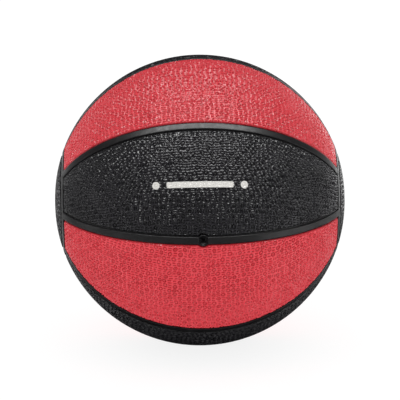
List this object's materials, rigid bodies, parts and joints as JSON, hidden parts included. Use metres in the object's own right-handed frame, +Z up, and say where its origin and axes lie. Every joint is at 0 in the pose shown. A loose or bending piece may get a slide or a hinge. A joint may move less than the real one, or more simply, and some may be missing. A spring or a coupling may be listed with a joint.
{
  "type": "medicine ball",
  "caption": "Inflatable two-colour rubber medicine ball with a textured gore cover, smooth seam strips, a weighted core and a needle air valve.",
  "frame": {"origin": "centre of the ball", "axes": "+X along the pole axis through the middles of the two caps, -Y out of the air valve, +Z up"},
  "size_m": [0.2288, 0.2299, 0.23],
  "materials": {
    "black_rubber": "moulded texture, satin",
    "red_rubber": "moulded texture, satin",
    "seam_rubber": "smooth, satin",
    "winding_cord": "rubber-dipped nylon cord",
    "weight_rubber": "matte filled rubber",
    "bladder_rubber": "smooth butyl",
    "valve_rubber": "smooth soft rubber"
  },
  "bodies": {
    "ball": {"black_panel_1": "black_rubber", "black_panel_2": "black_rubber", "black_panel_3": "black_rubber", "black_panel_4": "black_rubber", "red_panel_1": "red_rubber", "red_panel_2": "red_rubber", "red_panel_3": "red_rubber", "red_panel_4": "red_rubber", "cap_panel_left": "black_rubber", "cap_panel_right": "black_rubber", "seam_strip_1": "seam_rubber", "seam_strip_2": "seam_rubber", "seam_strip_3": "seam_rubber", "seam_strip_4": "seam_rubber", "seam_strip_5": "seam_rubber", "seam_strip_6": "seam_rubber", "seam_strip_7": "seam_rubber", "seam_strip_8": "seam_rubber", "cap_ring_left": "seam_rubber", "cap_ring_right": "seam_rubber", "cord_winding": "winding_cord", "weight_shell": "weight_rubber", "air_bladder": "bladder_rubber", "valve_boot": "valve_rubber"},
    "plug": {"valve_plug": "valve_rubber"}
  },
  "joints": [
    {"name": "valve_plug_slide", "type": "slide", "parent": "ball", "child": "plug", "axis": [0, -1, 0], "range_m": [0, 0.025]}
  ]
}
